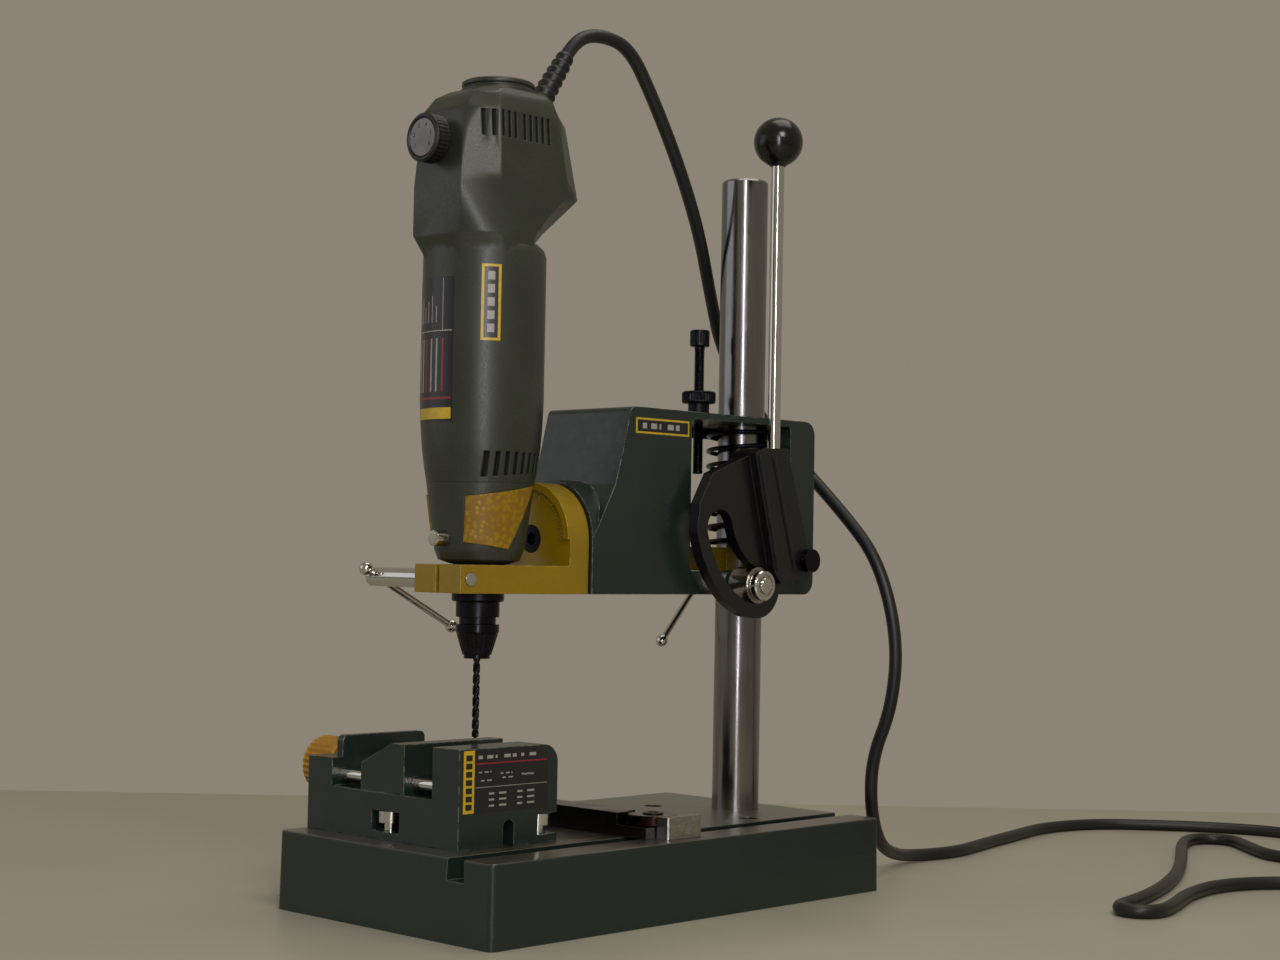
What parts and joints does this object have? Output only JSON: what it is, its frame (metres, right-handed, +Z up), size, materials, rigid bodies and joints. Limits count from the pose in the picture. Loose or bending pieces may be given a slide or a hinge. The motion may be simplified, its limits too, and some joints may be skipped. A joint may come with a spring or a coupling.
{
  "type": "bench drill press",
  "caption": "Small column drill stand with lever feed, swivelling arm holding a hand drill, machine vise on its base plate, and mains lead.",
  "frame": {"origin": "middle of the base plate's underside", "axes": "+Z up along the column, -Y towards the operator, +X towards the feed lever"},
  "size_m": [0.3215, 0.5205, 0.3517],
  "materials": {
    "green_paint": "glossy dark green enamel on cast metal",
    "ochre_paint": "glossy ochre yellow enamel on cast metal",
    "black_paint": "satin black",
    "bright_steel": "ground steel",
    "chrome": "bright nickel or chrome plate",
    "black_steel": "blackened steel",
    "motor_steel": "varnished lamination steel",
    "green_plastic": "dark green glass-filled nylon, lightly textured",
    "ochre_plastic": "ochre yellow moulded plastic",
    "black_plastic": "black moulded plastic",
    "board": "printed circuit board",
    "black_rubber": "black flexible PVC or rubber",
    "pin_brass": "nickel-plated brass"
  },
  "bodies": {
    "stand": {"base_plate": "green_paint", "column": "bright_steel", "column_bolt": "bright_steel", "vise_body": "green_paint", "vise_rods": "chrome", "vise_bolts": "chrome", "cord_lower": "black_rubber", "cord_coil": "black_rubber", "cord_tie": "black_rubber", "cord_tail": "black_rubber", "plug_body": "black_plastic", "plug_pins": "pin_brass"},
    "fence": {"fence_bar": "black_paint", "fence_block": "bright_steel", "fence_nut": "bright_steel"},
    "fence_clamp": {"fence_knob": "black_steel", "fence_screw": "black_steel"},
    "vise_slide": {"vise_jaw": "green_paint"},
    "vise_handle": {"vise_screw": "chrome", "vise_knob": "ochre_plastic"},
    "collar": {"collar": "ochre_paint", "lever_pivot": "black_steel"},
    "collar_clamp": {"collar_screw": "chrome"},
    "collar_handle": {"collar_bar": "chrome"},
    "lever": {"lever_hub": "black_paint", "lever_rod": "chrome", "lever_ball": "black_plastic"},
    "head": {"head_casting": "green_paint", "return_spring": "black_steel", "swivel_bolt": "black_steel", "follower_bolt": "chrome", "cord_middle": "black_rubber"},
    "roller": {"follower_roller": "chrome"},
    "depth_stop": {"stop_screw": "black_steel"},
    "stop_locknut": {"stop_nut": "black_steel"},
    "arm": {"swivel_arm": "ochre_paint", "housing_body": "green_plastic", "end_cap": "black_plastic", "nose_housing": "green_plastic", "side_panels": "ochre_plastic", "clamp_collar": "bright_steel", "strain_relief": "black_rubber", "bearing_bracket": "bright_steel", "bearings": "bright_steel", "motor_field": "motor_steel", "carbon_brushes": "black_plastic", "circuit_board": "board", "cord_top": "black_rubber"},
    "arm_clamp": {"arm_screw": "chrome"},
    "arm_handle": {"arm_bar": "chrome"},
    "spindle": {"spindle": "bright_steel", "armature": "motor_steel", "cooling_fan": "black_plastic", "chuck_body": "black_steel", "chuck_jaws": "black_steel", "drill_bit": "black_steel"},
    "chuck_grip": {"chuck_sleeve": "black_steel"},
    "dial": {"speed_dial": "black_plastic"},
    "switch": {"power_switch": "black_plastic"},
    "spindle_lock": {"lock_button": "chrome"}
  },
  "joints": [
    {"name": "fence_slide", "type": "slide", "parent": "stand", "child": "fence", "axis": [0, 1, 0], "range_m": [-0.026, 0.06]},
    {"name": "fence_knob_turn", "type": "hinge", "parent": "fence", "child": "fence_clamp", "pos_m": [0.0415, -0.0085, 0.036], "axis": [0, 0, 1], "range_deg": [-180, 180]},
    {"name": "vise_screw_turn", "type": "hinge", "parent": "stand", "child": "vise_handle", "pos_m": [-0.07, -0.0719, 0.0515], "axis": [1, 0, 0], "range_deg": [-4082, 3722]},
    {"name": "vise_jaw_slide", "type": "slide", "parent": "stand", "child": "vise_slide", "axis": [1, 0, 0], "range_m": [-0.017, 0.0155]},
    {"name": "column_height", "type": "slide", "parent": "stand", "child": "collar", "axis": [0, 0, 1], "range_m": [0, 0.09], "deforming": ["cord_lower"]},
    {"name": "collar_screw_turn", "type": "hinge", "parent": "collar", "child": "collar_clamp", "pos_m": [0, 0.0993, 0.1365], "axis": [1, 0, 0], "range_deg": [-90, 90]},
    {"name": "collar_bar_slide", "type": "slide", "parent": "collar_clamp", "child": "collar_handle", "axis": [0, -0.6691, -0.7431], "range_m": [-0.041, 0.005]},
    {"name": "feed", "type": "slide", "parent": "collar", "child": "head", "axis": [0, 0, -1], "range_m": [0, 0.03], "stiffness_N_per_m": 1500, "springref_m": -0.025, "deforming": ["return_spring", "cord_middle"]},
    {"name": "lever_turn", "type": "hinge", "parent": "collar", "child": "lever", "pos_m": [0.03, 0.0865, 0.1365], "axis": [1, 0, 0], "range_deg": [0, 64.01]},
    {"name": "roller_spin", "type": "hinge", "parent": "head", "child": "roller", "pos_m": [0.03, 0.0595, 0.126], "axis": [1, 0, 0], "continuous": true},
    {"name": "depth_stop_slide", "type": "slide", "parent": "head", "child": "depth_stop", "axis": [0, 0, 1], "range_m": [-0.0185, 0.02]},
    {"name": "stop_nut_spin", "type": "hinge", "parent": "head", "child": "stop_locknut", "pos_m": [0, 0.059, 0.204], "axis": [0, 0, 1], "continuous": true},
    {"name": "arm_swivel", "type": "hinge", "parent": "head", "child": "arm", "pos_m": [0, -0.03, 0.143], "axis": [0, -1, 0], "range_deg": [-90, 90], "deforming": ["cord_top"]},
    {"name": "arm_screw_turn", "type": "hinge", "parent": "arm", "child": "arm_clamp", "pos_m": [-0.03, -0.079, 0.1273], "axis": [1, 0, 0], "range_deg": [-90, 90]},
    {"name": "arm_bar_slide", "type": "slide", "parent": "arm_clamp", "child": "arm_handle", "axis": [0, 0.891, -0.454], "range_m": [-0.036, 0]},
    {"name": "spindle_spin", "type": "hinge", "parent": "arm", "child": "spindle", "pos_m": [0, -0.0635, 0.13], "axis": [0, 0, -1], "continuous": true},
    {"name": "chuck_grip_turn", "type": "hinge", "parent": "spindle", "child": "chuck_grip", "pos_m": [0, -0.0635, 0.105], "axis": [0, 0, -1], "continuous": true},
    {"name": "dial_turn", "type": "hinge", "parent": "arm", "child": "dial", "pos_m": [0, -0.092, 0.2913], "axis": [0, -1, 0], "range_deg": [-150, 150]},
    {"name": "switch_slide", "type": "slide", "parent": "arm", "child": "switch", "axis": [0, -0.72, -0.694], "range_m": [0, 0.002]},
    {"name": "lock_press", "type": "slide", "parent": "arm", "child": "spindle_lock", "axis": [0, 1, 0], "range_m": [0, 0.003], "stiffness_N_per_m": 400, "springref_m": -0.002}
  ],
  "couplings": [
    {"joint": "vise_screw_turn", "follows": "vise_jaw_slide", "rad_per_m": 4188.8},
    {"joint": "lever_turn", "follows": "feed", "rad_per_m": 37.234}
  ]
}
